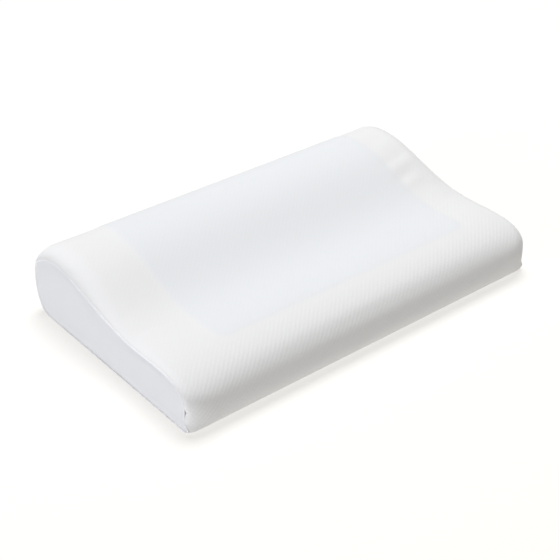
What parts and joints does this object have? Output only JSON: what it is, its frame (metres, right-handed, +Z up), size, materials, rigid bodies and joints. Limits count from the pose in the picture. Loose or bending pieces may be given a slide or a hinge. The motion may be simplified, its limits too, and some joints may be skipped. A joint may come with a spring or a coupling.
{
  "type": "contour bed pillow",
  "caption": "Wave-shaped foam bed pillow with a high and a low lobe, a cooling gel pad under the knit cover, piped end panels and a zip along the back.",
  "frame": {"origin": "on the surface that the pillow lies on, under the middle of its bounding box", "axes": "+X along the long side, towards the end that is on the right when the low lobe faces the viewer; +Y from the low front lobe to the high back lobe; +Z up"},
  "size_m": [0.5, 0.3144, 0.1],
  "materials": {
    "foam": "moulded viscoelastic polyurethane foam, open cell, matt",
    "gel": "soft blue cooling gel sheet, smooth",
    "wrap_knit": "white air-layer knit with a fine raised lattice",
    "end_knit": "white plain knit, smooth",
    "piping": "rolled knit seam",
    "zip_tape": "white woven polyester tape",
    "zip_coil": "white nylon monofilament coil",
    "zip_stop": "white moulded nylon",
    "zip_metal": "white enamelled zinc die casting",
    "label": "blank white woven satin"
  },
  "bodies": {
    "pillow": {"foam_core": "foam", "gel_pad": "gel", "cover_wrap": "wrap_knit", "cover_end_left": "end_knit", "cover_end_right": "end_knit", "piping_left": "piping", "piping_right": "piping", "zip_tape_upper": "zip_tape", "zip_tape_lower": "zip_tape", "zip_coil_upper": "zip_coil", "zip_coil_lower": "zip_coil", "zip_stop_left": "zip_stop", "zip_stop_right": "zip_stop", "care_label": "label"},
    "slider": {"zip_slider": "zip_metal"},
    "pull": {"zip_pull": "zip_metal"}
  },
  "joints": [
    {"name": "zip_slide", "type": "slide", "parent": "pillow", "child": "slider", "axis": [1, 0, 0], "range_m": [0, 0.3824]},
    {"name": "pull_hinge", "type": "hinge", "parent": "slider", "child": "pull", "pos_m": [-0.1912, 0.15535, 0.04], "axis": [0, 0, 1], "range_deg": [0, 180]}
  ]
}
